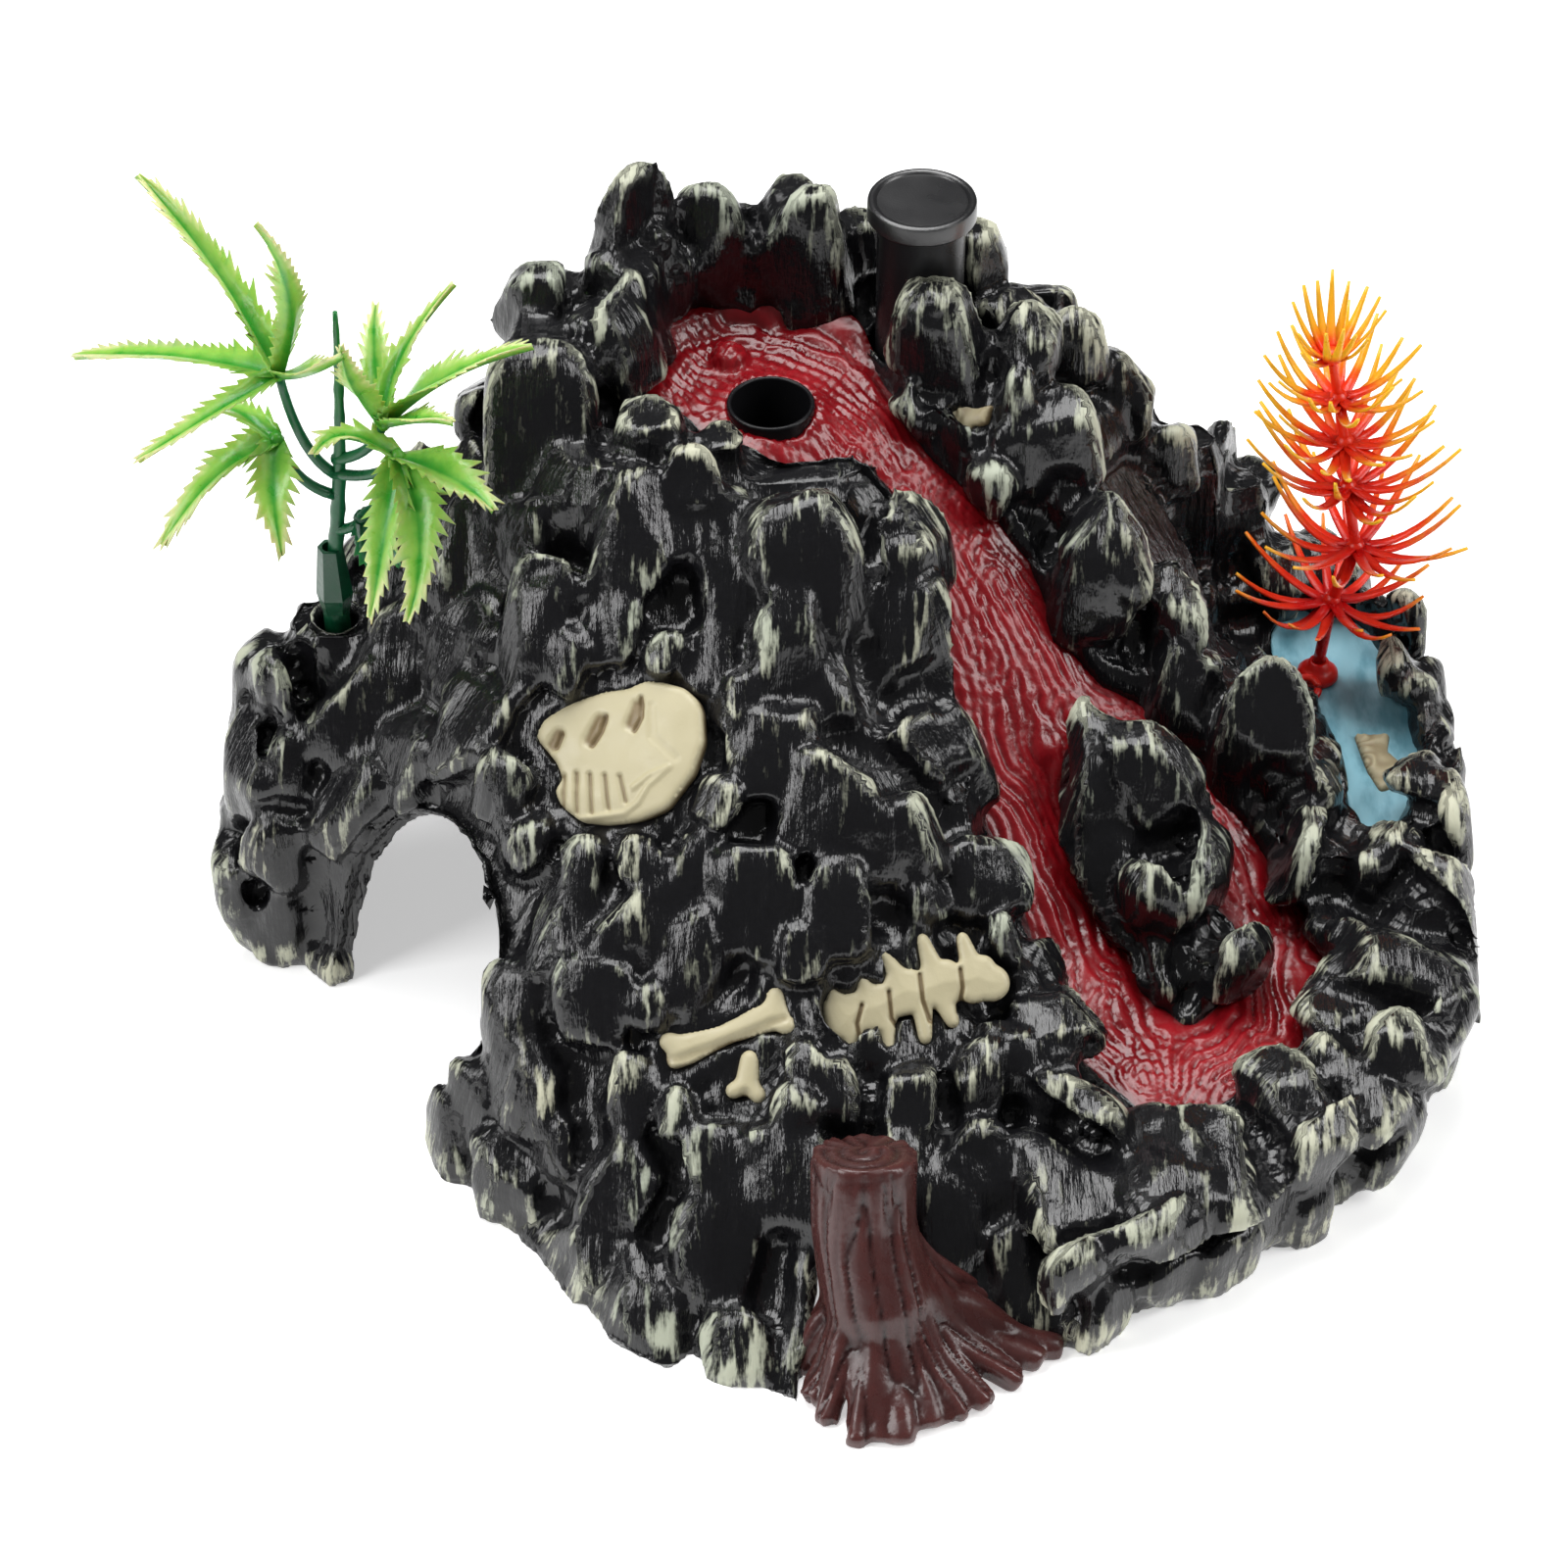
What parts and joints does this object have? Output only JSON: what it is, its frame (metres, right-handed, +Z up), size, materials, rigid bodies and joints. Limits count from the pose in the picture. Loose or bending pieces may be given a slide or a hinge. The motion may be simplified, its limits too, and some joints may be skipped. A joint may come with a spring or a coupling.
{
  "type": "bubbling ornament",
  "caption": "Volcano-shaped aquarium ornament with a bubbling crater outlet, lava stream, pool, cave arches and plug-in plastic plants.",
  "frame": {"origin": "centre of the object's box in plan, at the height of the bottom rim", "axes": "+Z up, +X to the right, along the longest side, and -Y to the front, where the tree stump stands"},
  "size_m": [0.3192, 0.262, 0.2002],
  "materials": {
    "rock": "moulded black plastic, dry-brushed pale on its edges",
    "lava": "glossy dark red paint",
    "pool": "satin blue paint",
    "bone": "satin cream paint",
    "wood": "satin brown paint",
    "fitting": "satin black plastic",
    "stone": "sintered porous stone",
    "palm_dark": "dark green plastic",
    "palm_leaf": "soft green plastic, pale towards the edges",
    "fern": "soft red plastic with yellow tips"
  },
  "bodies": {
    "shell": {"rock_shell": "rock", "lava_flow": "lava", "pool_water": "pool", "pool_fossil": "bone", "skull_plaque": "bone", "spine_relief": "bone", "bone_reliefs": "bone", "wall_fossil": "bone", "tree_stump": "wood", "outlet_sleeve": "fitting", "sleeve_lock_ring": "fitting", "diffuser_cup": "fitting", "air_stone": "stone", "service_tube": "fitting"},
    "cap": {"tube_cap": "fitting"},
    "palm_base": {"palm_plug": "palm_dark"},
    "palm": {"palm_stem": "palm_dark", "palm_leaf_1": "palm_leaf", "palm_leaf_2": "palm_leaf", "palm_leaf_3": "palm_leaf", "palm_leaf_4": "palm_leaf", "palm_leaf_5": "palm_leaf"},
    "fern_base": {"fern_foot": "fern"},
    "fern": {"fern_stem": "fern", "fern_whorl_1": "fern", "fern_whorl_2": "fern", "fern_whorl_3": "fern", "fern_whorl_4": "fern", "fern_whorl_5": "fern", "fern_whorl_6": "fern"}
  },
  "joints": [
    {"name": "cap_lift", "type": "slide", "parent": "shell", "child": "cap", "axis": [0, 0, 1], "range_m": [0, 0.06]},
    {"name": "palm_pull", "type": "slide", "parent": "shell", "child": "palm_base", "axis": [0, 0, 1], "range_m": [0, 0.05]},
    {"name": "palm_turn", "type": "hinge", "parent": "palm_base", "child": "palm", "pos_m": [-0.102, 0.045, 0.095], "axis": [0, 0, 1], "range_deg": [-60, 10]},
    {"name": "fern_pull", "type": "slide", "parent": "shell", "child": "fern_base", "axis": [0, 0, 1], "range_m": [0, 0.05]},
    {"name": "fern_turn", "type": "hinge", "parent": "fern_base", "child": "fern", "pos_m": [0.128, 0.072, 0.041], "axis": [0, 0, 1], "continuous": true}
  ]
}
